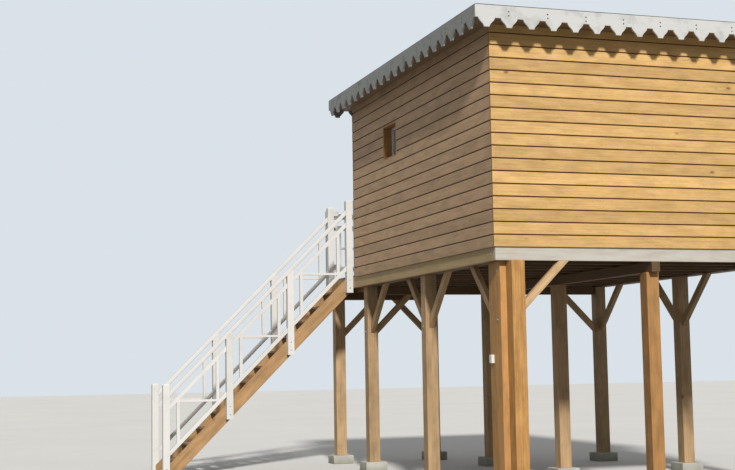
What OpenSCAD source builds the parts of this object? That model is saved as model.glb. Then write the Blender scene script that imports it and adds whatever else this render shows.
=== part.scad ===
/* [Cabin] */
// Width of the cabin across its short side, over the boards
cabin_w = 3840; // [3000:10:4600]
// Length of the cabin along its long side, over the boards
cabin_l = 4840; // [4600:10:6000]
// Height of the wall frames above the floor boards
wall_h = 2405; // [2100:1:2700]
// Thickness of the wall frames with their inner lining
frame_t = 120; // [70:1:140]
// Thickness of the outer weather boards
clad_t = 20; // [12:1:30]
// How far the weather boards lap down over the floor frame
clad_lap = 8; // [2:1:20]

/* [Floor] */
// Height of the top of the floor frame above the ground
floor_h = 2650; // [2100:10:3200]
// Thickness of the floor boards
deck_t = 22; // [18:1:40]
// Height of the rim boards and joists
rim_h = 150; // [120:1:200]
// Thickness of the rim boards and joists
rim_t = 45; // [35:1:60]
// Widest spacing of the joists
joist_pitch = 460; // [350:10:700]
// Width of the bearers on the two long post rows
bearer_w = 150; // [90:1:180]
// Height of the drop beams below the joists
beam_h = 110; // [80:1:180]
// Width of the drop beams
beam_w = 100; // [80:1:140]

/* [Posts] */
// Side of the square posts
post_s = 150; // [120:1:180]
// Distance from the cabin's outline to the outer faces of the posts
post_inset = 100; // [70:1:200]
// How far the front flanking post stands proud of the weather boards
flank_proud = 50; // [30:1:70]
// Sideways step of the front flanking post from its corner post
flank_step = 70; // [20:1:120]
// Side of the concrete pads under the single posts
pad_s = 300; // [220:1:360]
// Margin of the pads under the grouped corner posts
pad_margin = 75; // [30:1:100]
// Height of the concrete pads
pad_h = 120; // [60:1:250]

/* [Braces] */
// Reach of the knee braces that run across the cabin
brace_across = 550; // [400:10:700]
// Reach of the knee braces that run along the cabin
brace_along = 640; // [400:10:800]
// Depth of the knee braces
brace_d = 80; // [60:1:110]
// Thickness of the knee braces
brace_t = 60; // [40:1:90]

/* [Window] */
// Width of each window opening
window_w = 500; // [400:1:900]
// Height of each window opening
window_h = 440; // [300:1:900]
// Height of the window opening above the floor frame
window_sill = 1420; // [900:1:1500]
// Distance from the front wall to the near side of the window
window_y = 3010; // [1000:1:3300]
// Thickness of the window lining boards
lining_t = 18; // [12:1:30]
// Width of the sash that holds the glass
sash_w = 35; // [25:1:60]
// Thickness of the sash
sash_t = 28; // [20:1:40]
// Thickness of the glass
glass_t = 6; // [4:1:10]

/* [Door] */
// Width of the door opening
door_w = 760; // [650:1:900]
// Height of the door opening
door_h = 1900; // [1700:1:2000]
// Distance from the left side of the cabin to the door opening
door_x = 560; // [200:1:800]
// Thickness of the door lining boards
jamb_t = 30; // [20:1:45]
// Thickness of the door leaf
leaf_t = 40; // [30:1:50]
// Gap around the door leaf
leaf_gap = 3; // [2:1:6]
// Width of the stop that the leaf closes against
stop_w = 15; // [10:1:25]
// Height of the ledges on the inside of the leaf
ledge_h = 110; // [80:1:150]
// Height of the door knob above the floor boards
knob_z = 1000; // [850:10:1100]

/* [Roof] */
// How far the roof stands out beyond the weather boards
eave = 260; // [180:1:400]
// Rise of the hipped roof from its edge to its ridge
roof_rise = 300; // [150:1:350]
// Thickness of the roof boards with their felt
roof_t = 25; // [18:1:50]
// Height of the rafters, measured upright
rafter_h = 94; // [80:1:180]
// Thickness of the rafters
rafter_t = 45; // [35:1:60]
// Depth of the notches that seat the rafters on the walls
rafter_seat = 8; // [5:1:15]
// Thickness of the flat boards under the eaves
soffit_t = 15; // [10:1:25]

/* [Scalloped trim] */
// Thickness of the scalloped trim boards
trim_t = 22; // [15:1:35]
// Spacing that the scallops come closest to
scallop_pitch = 262; // [150:1:320]
// Depth of the scallops
scallop_d = 98; // [50:1:130]
// Width of the flat tip of each tooth
tip_w = 60; // [20:1:80]
// Width of the flat top of each notch
notch_w = 68; // [20:1:80]
// Steps along each curved side of a tooth
scallop_steps = 6; // [3:1:8]

/* [Landing] */
// Length of the landing out from the back wall
landing_l = 1460; // [1300:10:1800]
// Width of the landing along the back wall
landing_w = 1760; // [1500:10:2200]

/* [Stair] */
// Width of the stair over its strings
stair_w = 800; // [700:10:900]
// Distance from the back wall to the near string
stair_gap = 210; // [150:1:250]
// Number of rises from the ground to the landing
risers = 13; // [11:1:15]
// Going of each step
going = 207; // [190:1:240]
// Depth of the strings, measured square to their edges
string_d = 172; // [150:1:220]
// Thickness of the strings
string_t = 45; // [35:1:60]
// Height of the strings' top edge above the line of the step noses
string_up = 30; // [10:1:60]
// Thickness of the treads
tread_t = 28; // [22:1:45]
// Depth of the treads from front to back
tread_d = 184; // [170:1:230]

/* [Railing] */
// Side of the square newels
newel_s = 90; // [70:1:110]
// Spacing of the newels along the stair
newel_pitch = 857; // [700:10:950]
// Height of the top newels above the floor frame
newel_top = 1080; // [1000:1:1200]
// Height of the bottom newels above the ground
newel_foot_h = 1220; // [1150:1:1300]
// How far the hanging newels reach below the line of the step noses
newel_drop = 195; // [150:1:260]
// Height of the underside of the handrail above the line of the step noses
handrail_up = 930; // [850:1:1000]
// Height of the handrail, measured upright on the stair
handrail_h = 72; // [50:1:90]
// Height of the underside of the middle rail above the same line
midrail_up = 760; // [650:1:800]
// Height of the underside of the bottom rail above the same line
lowrail_up = 150; // [100:1:200]
// Height of the middle and bottom rails, measured upright on the stair
rail_h = 70; // [45:1:80]
// Thickness of the rails
rail_t = 40; // [30:1:60]
// Width of the handrail
handrail_w = 70; // [50:1:90]
// Bevel around the top of the standing newels
newel_bevel = 14; // [6:1:25]
// Width of the bars inside the panels
bar_w = 42; // [30:1:60]
// Thickness of the bars inside the panels
bar_t = 30; // [20:1:40]
// Gap between a newel and the first bar
bar_gap = 95; // [60:1:120]

/* [Switch box] */
// Width of the small box on the corner post
box_w = 60; // [40:1:80]
// Height of the small box
box_h = 90; // [60:1:120]
// Depth of the small box
box_d = 35; // [20:1:50]
// Height of the middle of the small box above the ground
box_z = 1470; // [1000:1:1800]

/* [Hidden] */

// Colours
old_wood = "#8d8677";
new_wood = "#c98f4e";
boards = "#a87a50";
white = "#f1f1ec";
concrete = "#9a978e";
felt = "#4a4a48";

// Levels
floor_z = floor_h;
room_z = floor_z + deck_t;
rim_z = floor_z - rim_h;
beam_z = rim_z - beam_h;
wall_z = room_z + wall_h;

// Post rows: the outer faces stand post_inset inside the cabin's outline
row_x = [post_inset + post_s / 2, cabin_w / 2, cabin_w - post_inset - post_s / 2];
row_y = [post_inset + post_s / 2, cabin_l / 2, cabin_l - post_inset - post_s / 2];
landing_post_x = [row_x[0], landing_w - rim_t - post_s / 2];
landing_post_y = cabin_l + landing_l - rim_t - post_s / 2;

// Roof: the rafters rest on the outer edge of the wall frames
half_span = cabin_w / 2 + eave;
slope = roof_rise / half_span;
rafter_edge_z = wall_z - (eave + clad_t) * slope - rafter_seat;
deck_edge_z = rafter_edge_z + rafter_h;
roof_edge_z = deck_edge_z + roof_t;
ridge_y = [half_span - eave, cabin_l + eave - half_span];
soffit_top = rafter_edge_z;
soffit_z = soffit_top - soffit_t;
trim_z = soffit_z - scallop_d;
trim_h = roof_edge_z - trim_z;
wall_in = clad_t + frame_t;
clad_z = floor_z - clad_lap;

// Floor frame: the rim boards lie flush behind the weather boards
rim_face = clad_t;
bearer_y0 = rim_face + rim_t;
bearer_y1 = cabin_l - rim_face - rim_t;
// Boards of one piece that meet end to end keep this much apart
joint_gap = 1;

// Openings
sash_low = [window_y + lining_t, floor_z + window_sill + lining_t];
sash_high = [window_y + window_w - lining_t, floor_z + window_sill + window_h - lining_t];
leaf_y = cabin_l - clad_t;

// Stair: the line of the noses starts at the landing's edge
rise = room_z / risers;
pitch = rise / going;
string_deep = string_d / cos(atan(pitch));
stair_y = cabin_l + stair_gap;
newel_x = [for (i = [0:3]) rim_face - newel_s / 2 - i * newel_pitch];
side_y = [stair_y - newel_s / 2, stair_y + stair_w + newel_s / 2];

// Where the newels of the landing stand
land_x = [rim_face + newel_s / 2, (rim_face + landing_w) / 2, landing_w - newel_s / 2];
land_y = [cabin_l + newel_s / 2, cabin_l + landing_l / 2, cabin_l + landing_l - newel_s / 2];

// Reach of the whole object, to put its origin at the middle of its base
reach_left = -newel_x[3] + newel_s / 2;
reach_right = cabin_w + eave;
reach_front = eave;
reach_back = landing_post_y + pad_s / 2;
origin_x = (reach_right - reach_left) / 2;
origin_y = (reach_back - reach_front) / 2;

// Height of the line of the step noses at a place along the stair
function nose_z(x) = room_z + (x - rim_face) * pitch;

// Places everything that is given from the cabin's near left corner
module sited() {
    translate([-origin_x, -origin_y, 0]) children();
}

// A box from its lowest to its highest corner
module block(low, high) {
    translate(low) cube(high - low);
}

// A prism whose outline is given in X and Z, from y0 to y1
module across(y0, y1) {
    translate([0, y1, 0]) rotate([90, 0, 0]) linear_extrude(y1 - y0) children();
}

// A prism whose outline is given in Y and Z, from x0 to x1
module along(x0, x1) {
    translate([x0, 0, 0]) rotate([90, 0, 90]) linear_extrude(x1 - x0) children();
}

// Posts and what they stand on

module post(x, y, top) {
    block([x - post_s / 2, y - post_s / 2, pad_h], [x + post_s / 2, y + post_s / 2, top]);
}

module single_pad(x, y) {
    block([x - pad_s / 2, y - pad_s / 2, 0], [x + pad_s / 2, y + pad_s / 2, pad_h]);
}

// The pad under a corner post and the two posts that flank it
module corner_pad(left) {
    inner = post_inset + post_s + flank_step + pad_margin;
    outer = post_inset - pad_margin;
    x0 = left ? outer : cabin_w - inner;
    x1 = left ? inner : cabin_w - outer;
    block([x0, -flank_proud - pad_margin, 0],
          [x1, post_inset + 2 * post_s + pad_margin, pad_h]);
}

module concrete_pads() {
    sited() color(concrete) {
        corner_pad(true);
        corner_pad(false);
        single_pad(row_x[1], row_y[0]);
        for (x = row_x, j = [1, 2]) single_pad(x, row_y[j]);
        for (x = landing_post_x) single_pad(x, landing_post_y);
    }
}

module post_row(x, tops) {
    for (j = [0:2]) post(x, row_y[j], tops[j]);
}

module posts_left() {
    sited() color(new_wood) post_row(row_x[0], [rim_z, rim_z, rim_z]);
}

module posts_middle() {
    sited() color(new_wood) post_row(row_x[1], [beam_z, beam_z, beam_z]);
}

module posts_right() {
    sited() color(new_wood) post_row(row_x[2], [rim_z, rim_z, rim_z]);
}

module flank_posts() {
    front_y = -flank_proud + (post_inset + flank_proud) / 2;
    sited() color(new_wood) for (side = [-1, 1]) {
        x = side < 0 ? row_x[0] : row_x[2];
        translate([x - side * flank_step, front_y, 0])
            block([-post_s / 2, -(post_inset + flank_proud) / 2, pad_h],
                  [post_s / 2, (post_inset + flank_proud) / 2, rim_z]);
        post(x, row_y[0] + post_s, rim_z);
    }
}

module landing_posts() {
    sited() color(new_wood) for (x = landing_post_x) post(x, landing_post_y, beam_z);
}

// Knee braces: cut square to lie against a post and under a beam.
// The outline starts at the post's face and rises to the beam's underside.
module brace_outline(reach) {
    cut = brace_d * sqrt(2);
    polygon([[0, -reach], [reach, 0], [reach - cut, 0], [0, cut - reach]]);
}

module across_brace(x, y, z, reach, way) {
    translate([x, 0, z]) mirror([way < 0 ? 1 : 0, 0, 0])
        across(y - brace_t / 2, y + brace_t / 2) brace_outline(reach);
}

module along_brace(x, y, z, reach, way) {
    translate([0, y, z]) mirror([0, way < 0 ? 1 : 0, 0])
        along(x - brace_t / 2, x + brace_t / 2) brace_outline(reach);
}

module braces_along() {
    sited() color(new_wood) for (x = [row_x[0], row_x[2]]) {
        along_brace(x, row_y[0] + 3 * post_s / 2, rim_z, brace_along, 1);
        along_brace(x, row_y[1] - post_s / 2, rim_z, brace_along, -1);
        along_brace(x, row_y[1] + post_s / 2, rim_z, brace_along, 1);
        along_brace(x, row_y[2] - post_s / 2, rim_z, brace_along, -1);
    }
}

module braces_across() {
    front_y = rim_face + brace_t / 2;
    sited() color(new_wood) {
        across_brace(row_x[0] + flank_step + post_s / 2, front_y, rim_z, brace_across, 1);
        across_brace(row_x[2] - flank_step - post_s / 2, front_y, rim_z, brace_across, -1);
        across_brace(row_x[0] + post_s / 2, row_y[2], beam_z, brace_across, 1);
        across_brace(row_x[2] - post_s / 2, row_y[2], beam_z, brace_across, -1);
        across_brace(landing_post_x[0] + post_s / 2, landing_post_y, beam_z, brace_across, 1);
        across_brace(landing_post_x[1] - post_s / 2, landing_post_y, beam_z, brace_across, -1);
    }
}

// Floor frame

module rim_side(x0, y1) {
    block([x0, rim_face + rim_t, rim_z], [x0 + rim_t, y1, floor_z]);
}

module rim_sides() {
    sited() color(old_wood) {
        rim_side(rim_face, cabin_l + landing_l);
        rim_side(cabin_w - rim_face - rim_t, cabin_l - rim_face - rim_t);
    }
}

module rim_ends() {
    sited() color(old_wood) {
        block([rim_face, rim_face, rim_z], [cabin_w - rim_face, rim_face + rim_t, floor_z]);
        block([rim_face + rim_t, cabin_l - rim_face - rim_t, rim_z],
              [cabin_w - rim_face, cabin_l - rim_face, floor_z]);
    }
}

module bearers() {
    inner = rim_face + rim_t;
    sited() color(old_wood) {
        block([inner, bearer_y0, rim_z], [inner + bearer_w, bearer_y1, floor_z]);
        block([cabin_w - inner - bearer_w, bearer_y0, rim_z], [cabin_w - inner, bearer_y1, floor_z]);
    }
}

module floor_joists() {
    x0 = rim_face + rim_t + bearer_w;
    clear = bearer_y1 - bearer_y0;
    bays = ceil(clear / joist_pitch);
    sited() color(old_wood) for (i = [1:bays - 1]) {
        y = bearer_y0 + i * clear / bays;
        block([x0, y - rim_t / 2, rim_z], [cabin_w - x0, y + rim_t / 2, floor_z]);
    }
}

// The middle beam carries the joists, the back beam ties the back posts,
// and the landing beam carries the landing.
module drop_beams() {
    back_y = row_y[2];
    sited() color(new_wood) {
        block([row_x[1] - beam_w / 2, rim_face, beam_z],
              [row_x[1] + beam_w / 2, back_y - beam_w / 2 - joint_gap, rim_z]);
        block([row_x[0] + post_s / 2, back_y - beam_w / 2, beam_z],
              [row_x[2] - post_s / 2, back_y + beam_w / 2, rim_z]);
        block([landing_post_x[0] - post_s / 2, landing_post_y - beam_w / 2, beam_z],
              [landing_post_x[1] + post_s / 2, landing_post_y + beam_w / 2, rim_z]);
    }
}

module floor_deck() {
    sited() color(boards)
        block([clad_t, clad_t, floor_z], [cabin_w - clad_t, cabin_l - clad_t, room_z]);
}

// Walls

module window_hole(x0, x1) {
    block([x0, window_y, floor_z + window_sill],
          [x1, window_y + window_w, floor_z + window_sill + window_h]);
}

module side_wall(x0) {
    difference() {
        block([x0, clad_t, room_z], [x0 + frame_t, cabin_l - clad_t, wall_z]);
        window_hole(x0 - 1, x0 + frame_t + 1);
    }
}

module wall_left() {
    sited() color(boards) side_wall(clad_t);
}

module wall_right() {
    sited() color(boards) side_wall(cabin_w - wall_in);
}

module wall_front() {
    sited() color(boards)
        block([wall_in, clad_t, room_z], [cabin_w - wall_in, wall_in, wall_z]);
}

module back_wall(x0, x1, z0) {
    block([x0, cabin_l - wall_in, z0], [x1, cabin_l - clad_t, wall_z]);
}

module wall_back_left() {
    sited() color(boards) back_wall(wall_in, door_x, room_z);
}

module wall_back_right() {
    sited() color(boards) back_wall(door_x + door_w, cabin_w - wall_in, room_z);
}

module wall_back_over() {
    sited() color(boards) back_wall(door_x, door_x + door_w, room_z + door_h);
}

module side_cladding(x0) {
    difference() {
        block([x0, clad_t, clad_z], [x0 + clad_t, cabin_l - clad_t, soffit_top]);
        window_hole(x0 - 1, x0 + clad_t + 1);
    }
}

module cladding_left() {
    sited() color(boards) side_cladding(0);
}

module cladding_right() {
    sited() color(boards) side_cladding(cabin_w - clad_t);
}

module cladding_front() {
    sited() color(boards) block([0, 0, clad_z], [cabin_w, clad_t, soffit_top]);
}

// The back boards stop on the landing, beside the door and at the left rim,
// which runs on to carry the landing.
module cladding_back() {
    sited() color(boards) difference() {
        block([0, cabin_l - clad_t, clad_z], [cabin_w, cabin_l, soffit_top]);
        block([door_x, cabin_l - clad_t - 1, clad_z - 1],
              [door_x + door_w, cabin_l + 1, room_z + door_h]);
        block([-1, cabin_l - clad_t - 1, clad_z - 1], [landing_w + 1, cabin_l + 1, room_z]);
    }
}

// Windows and door

module lining(x0, x1) {
    difference() {
        window_hole(x0, x1);
        block([x0 - 1, window_y + lining_t, floor_z + window_sill + lining_t],
              [x1 + 1, window_y + window_w - lining_t,
               floor_z + window_sill + window_h - lining_t]);
    }
}

module window_linings() {
    sited() color(new_wood) {
        lining(0, wall_in);
        lining(cabin_w - wall_in, cabin_w);
    }
}

module sash(x0) {
    difference() {
        block([x0, sash_low[0], sash_low[1]], [x0 + sash_t, sash_high[0], sash_high[1]]);
        block([x0 - 1, sash_low[0] + sash_w, sash_low[1] + sash_w],
              [x0 + sash_t + 1, sash_high[0] - sash_w, sash_high[1] - sash_w]);
    }
}

module window_sashes() {
    sited() color(white) {
        sash(wall_in - sash_t);
        sash(cabin_w - wall_in);
    }
}

module pane(x0) {
    block([x0, sash_low[0] + sash_w, sash_low[1] + sash_w],
          [x0 + glass_t, sash_high[0] - sash_w, sash_high[1] - sash_w]);
}

module window_panes() {
    sited() color("lightblue", 0.4) {
        pane(wall_in - (sash_t + glass_t) / 2);
        pane(cabin_w - wall_in + (sash_t - glass_t) / 2);
    }
}

// The lining of the doorway, with the stop that the leaf closes against
module door_frame() {
    stop_y = leaf_y - leaf_t / 2;
    head_z = room_z + door_h - jamb_t;
    sited() color(white) {
        difference() {
            block([door_x, cabin_l - wall_in, room_z], [door_x + door_w, cabin_l, room_z + door_h]);
            block([door_x + jamb_t, stop_y, room_z - 1],
                  [door_x + door_w - jamb_t, cabin_l + 1, head_z]);
            block([door_x + jamb_t + stop_w, cabin_l - wall_in - 1, room_z - 1],
                  [door_x + door_w - jamb_t - stop_w, cabin_l, head_z - stop_w]);
            block([door_x + jamb_t, cabin_l - wall_in - 1, room_z - 1],
                  [door_x + door_w - jamb_t, stop_y - stop_w, head_z]);
        }
    }
}

// A ledged leaf: boards outside, three ledges inside and a knob
module door_leaf() {
    x0 = door_x + jamb_t + leaf_gap;
    x1 = door_x + door_w - jamb_t - leaf_gap;
    z0 = room_z + leaf_gap;
    z1 = room_z + door_h - jamb_t - leaf_gap;
    board_t = leaf_t / 2;
    ledge_in = stop_w + ledge_h / 4;
    knob_x = x1 - 70;
    sited() color(white) {
        block([x0, leaf_y - board_t, z0], [x1, leaf_y, z1]);
        for (part = [0.1, 0.5, 0.9])
            translate([0, 0, z0 + part * (z1 - z0) - ledge_h / 2])
                block([x0 + ledge_in, leaf_y - leaf_t, 0], [x1 - ledge_in, leaf_y - board_t, ledge_h]);
        translate([knob_x, leaf_y, room_z + knob_z]) rotate([-90, 0, 0]) {
            cylinder(h = 40, r = 9, $fn = 24);
            translate([0, 0, 40]) cylinder(h = 20, r = 24, $fn = 32);
        }
    }
}

// Roof

// The volume under a hipped surface whose edge lies at edge_z
module hipped(edge_z, inset) {
    x0 = -eave + inset;
    x1 = cabin_w + eave - inset;
    y0 = -eave + inset;
    y1 = cabin_l + eave - inset;
    base_z = floor_z;
    z0 = edge_z + inset * slope;
    top_z = edge_z + roof_rise;
    run = half_span - inset;
    intersection() {
        across(y0, y1)
            polygon([[x0, base_z], [x1, base_z], [x1, z0], [cabin_w / 2, top_z], [x0, z0]]);
        along(x0, x1)
            polygon([[y0, base_z], [y1, base_z], [y1, z0],
                     [y1 - run, top_z], [y0 + run, top_z], [y0, z0]]);
    }
}

// The roof boards, a hipped shell that ends at the back of the trim
module roof_deck() {
    sited() color(felt) difference() {
        hipped(roof_edge_z, trim_t);
        hipped(deck_edge_z, -1);
    }
}

// One hip rafter in plan, from a corner of the eaves to an end of the ridge
module hip_strip(corner, apex) {
    length = norm(apex - corner);
    turn = atan2(apex[1] - corner[1], apex[0] - corner[0]);
    translate([corner[0], corner[1], floor_z]) rotate([0, 0, turn])
        translate([0, -rafter_t / 2, 0]) cube([length, rafter_t, wall_z]);
}

module rafters() {
    x_left = -eave + trim_t;
    x_right = cabin_w + eave - trim_t;
    y_front = -eave + trim_t;
    y_back = cabin_l + eave - trim_t;
    middle = cabin_w / 2;
    sited() color(new_wood) intersection() {
        difference() {
            hipped(deck_edge_z, trim_t);
            hipped(rafter_edge_z, -1);
            block([clad_t, clad_t, floor_z], [cabin_w - clad_t, cabin_l - clad_t, wall_z]);
        }
        union() {
            block([middle - rafter_t / 2, y_front, floor_z], [middle + rafter_t / 2, y_back, 2 * wall_z]);
            for (y = ridge_y)
                block([x_left, y - rafter_t / 2, floor_z], [x_right, y + rafter_t / 2, 2 * wall_z]);
            for (x = [x_left, x_right]) {
                hip_strip([x, y_front], [middle, ridge_y[0]]);
                hip_strip([x, y_back], [middle, ridge_y[1]]);
            }
        }
    }
}

// The flat boards under the eaves, from the weather boards to the trim
module soffit() {
    out = eave - trim_t;
    sited() color(boards) difference() {
        block([-out, -out, soffit_z], [cabin_w + out, cabin_l + out, soffit_top]);
        block([0, 0, soffit_z - 1], [cabin_w, cabin_l, soffit_top + 1]);
    }
}

// Share of a tooth's side covered after k steps
function sweep(k) = (1 - cos(180 * k / scallop_steps)) / 2;

// One tooth's outline over a unit length: each side leaves the notch upright,
// sweeps over to the tip and meets it upright.
function tooth(i, width) = let (
        notch = notch_w / width / 2,
        tip = tip_w / width / 2,
        side = 0.5 - notch - tip)
    concat(
        [for (k = [0:scallop_steps])
            [i + notch + side * sweep(k), 1 - k / scallop_steps]],
        [for (k = [scallop_steps:-1:0])
            [i + 1 - notch - side * sweep(k), 1 - k / scallop_steps]]);

// A trim board of the given length, drawn upright with its teeth down
module trim_outline(length) {
    teeth = round(length / scallop_pitch);
    width = length / teeth;
    edge = [for (i = [0:teeth - 1]) for (p = tooth(i, width)) [p[0] * width, p[1] * scallop_d]];
    polygon(concat([[0, scallop_d]], edge, [[length, scallop_d], [length, trim_h], [0, trim_h]]));
}

module trim_across(y0) {
    translate([-eave, 0, trim_z]) across(y0, y0 + trim_t) trim_outline(cabin_w + 2 * eave);
}

module trim_along(x0) {
    length = cabin_l + 2 * eave - 2 * trim_t;
    translate([0, -eave + trim_t, trim_z]) along(x0, x0 + trim_t) trim_outline(length);
}

module trim_front() {
    sited() color(white) trim_across(-eave);
}

module trim_back() {
    sited() color(white) trim_across(cabin_l + eave - trim_t);
}

module trim_left() {
    sited() color(white) trim_along(-eave);
}

module trim_right() {
    sited() color(white) trim_along(cabin_w + eave - trim_t);
}

// Landing

module landing_frame() {
    y0 = cabin_l - rim_face;
    y1 = cabin_l + landing_l;
    x0 = rim_face + rim_t;
    bays = ceil((landing_w - x0) / joist_pitch);
    sited() color(old_wood) {
        difference() {
            block([x0, y0, rim_z], [landing_w, y1, floor_z]);
            for (i = [0:bays - 1]) {
                step = (landing_w - x0) / bays;
                block([x0 + i * step, y0 - 1, rim_z - 1],
                      [x0 + (i + 1) * step - rim_t, y1 - rim_t, floor_z + 1]);
            }
        }
    }
}

module landing_deck() {
    sited() color(boards)
        block([rim_face, cabin_l - clad_t, floor_z], [landing_w, cabin_l + landing_l, room_z]);
}

// A railing panel drawn in its own plane: a low rail, a middle rail and
// stepped bars between them, which climb with the slope of the rails.
module panel_outline(length, tilt) {
    low_top = lowrail_up + rail_h;
    near_bar = bar_gap;
    far_bar = length - bar_gap - bar_w;
    for (up = [lowrail_up, midrail_up])
        polygon([[0, up], [length, up + length * tilt],
                 [length, up + rail_h + length * tilt], [0, up + rail_h]]);
    for (v = [near_bar, far_bar])
        polygon([[v, low_top - rail_h / 2 + v * tilt],
                 [v + bar_w, low_top - rail_h / 2 + (v + bar_w) * tilt],
                 [v + bar_w, midrail_up + rail_h / 2 + (v + bar_w) * tilt],
                 [v, midrail_up + rail_h / 2 + v * tilt]]);
    step_low = midrail_up + near_bar * tilt;
    step_high = low_top + (far_bar + bar_w) * tilt;
    step_z = tilt > 0 ? (step_low + step_high) / 2 : (low_top + midrail_up) / 2;
    translate([near_bar, step_z - bar_t / 2]) square([far_bar + bar_w - near_bar, bar_t]);
}

// A newel with a bevel around its top
module standing_newel(x, y, z0, z1) {
    half = newel_s / 2;
    b = newel_bevel;
    intersection() {
        across(y - half, y + half)
            polygon([[x - half, z0], [x + half, z0], [x + half, z1 - b], [x + half - b, z1],
                     [x - half + b, z1], [x - half, z1 - b]]);
        along(x - half, x + half)
            polygon([[y - half, z0], [y + half, z0], [y + half, z1 - b], [y + half - b, z1],
                     [y - half + b, z1], [y - half, z1 - b]]);
    }
}

// A level stretch of railing along X or Y between two newels
module level_panel_across(x0, x1, y) {
    translate([x0, 0, room_z]) across(y - rail_t / 2, y + rail_t / 2) panel_outline(x1 - x0, 0);
    block([x0, y - handrail_w / 2, room_z + handrail_up],
          [x1, y + handrail_w / 2, room_z + handrail_up + handrail_h]);
}

module level_panel_along(y0, y1, x) {
    translate([0, y0, room_z]) along(x - rail_t / 2, x + rail_t / 2) panel_outline(y1 - y0, 0);
    block([x - handrail_w / 2, y0, room_z + handrail_up],
          [x + handrail_w / 2, y1, room_z + handrail_up + handrail_h]);
}

// The short side beside the stair has plain rails, lapped against the top newel
module short_rails(y0, y1, x) {
    for (up = [lowrail_up, midrail_up])
        block([x, y0, room_z + up], [x + rail_t, y1, room_z + up + rail_h]);
    block([x, y0, room_z + handrail_up], [x + handrail_w, y1, room_z + handrail_up + handrail_h]);
}

module landing_rails() {
    half = newel_s / 2;
    sited() color(white) {
        for (i = [0, 1]) {
            level_panel_across(land_x[i] + half, land_x[i + 1] - half, land_y[2]);
            level_panel_along(land_y[i] + half, land_y[i + 1] - half, land_x[2]);
        }
        short_rails(side_y[1] - half, land_y[2] - half, rim_face);
    }
}

// Stair

module string_outline() {
    top_x = rim_face;
    foot_x = newel_x[3];
    heel_x = rim_face - (room_z + string_up - string_deep) / pitch;
    polygon([[top_x, nose_z(top_x) + string_up], [foot_x, nose_z(foot_x) + string_up],
             [foot_x, 0], [heel_x, 0], [top_x, nose_z(top_x) + string_up - string_deep]]);
}

module stair_strings() {
    sited() color(new_wood) for (y = [stair_y, stair_y + stair_w - string_t])
        across(y, y + string_t) string_outline();
}

module stair_treads() {
    sited() color(new_wood) for (i = [1:risers - 1]) {
        front_x = rim_face - i * going;
        back_x = min(front_x + tread_d, rim_face);
        top_z = room_z - i * rise;
        block([front_x, stair_y + string_t, top_z - tread_t],
              [back_x, stair_y + stair_w - string_t, top_z]);
    }
}

// A newel fixed to the outside of a string, cut to the slope of the handrail
module hanging_newel(x, y) {
    half = newel_s / 2;
    low_z = nose_z(x) - newel_drop;
    across(y - half, y + half)
        polygon([[x - half, low_z], [x + half, low_z], [x + half, nose_z(x + half) + handrail_up],
                 [x - half, nose_z(x - half) + handrail_up]]);
}

module newels() {
    high_z = floor_z + newel_top;
    sited() color(white) {
        for (y = side_y) {
            standing_newel(newel_x[0], y, nose_z(newel_x[0]) - newel_drop, high_z);
            for (i = [1, 2]) hanging_newel(newel_x[i], y);
            standing_newel(newel_x[3], y, 0, newel_foot_h);
        }
        for (x = land_x) standing_newel(x, land_y[2], room_z, high_z);
        for (y = [land_y[0], land_y[1]]) standing_newel(land_x[2], y, room_z, high_z);
        standing_newel(land_x[0], land_y[0], room_z, high_z);
    }
}

module handrails() {
    x0 = newel_x[3] + newel_s / 2;
    x1 = newel_x[0] - newel_s / 2;
    sited() color(white) for (y = side_y)
        across(y - handrail_w / 2, y + handrail_w / 2)
            polygon([[x0, nose_z(x0) + handrail_up], [x1, nose_z(x1) + handrail_up],
                     [x1, nose_z(x1) + handrail_up + handrail_h],
                     [x0, nose_z(x0) + handrail_up + handrail_h]]);
}

module stair_panels() {
    sited() color(white) for (y = side_y, i = [0:2]) {
        x0 = newel_x[i + 1] + newel_s / 2;
        translate([x0, 0, nose_z(x0)]) across(y - rail_t / 2, y + rail_t / 2)
            panel_outline(newel_pitch - newel_s, pitch);
    }
}

module switch_box() {
    y = row_y[0] + post_s;
    sited() color(white)
        block([post_inset - box_d, y - box_w / 2, box_z - box_h / 2],
              [post_inset, y + box_w / 2, box_z + box_h / 2]);
}

concrete_pads();
posts_left();
posts_middle();
posts_right();
flank_posts();
landing_posts();
braces_along();
braces_across();
rim_sides();
rim_ends();
bearers();
floor_joists();
drop_beams();
floor_deck();
wall_left();
wall_right();
wall_front();
wall_back_left();
wall_back_right();
wall_back_over();
cladding_left();
cladding_right();
cladding_front();
cladding_back();
window_linings();
window_sashes();
window_panes();
door_frame();
door_leaf();
rafters();
roof_deck();
soffit();
trim_left();
trim_right();
trim_front();
trim_back();
landing_frame();
landing_deck();
landing_rails();
stair_strings();
stair_treads();
newels();
handrails();
stair_panels();
switch_box();
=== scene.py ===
import math
import random

import bmesh
import bpy
import numpy as np
from mathutils import Matrix, Vector


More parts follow.
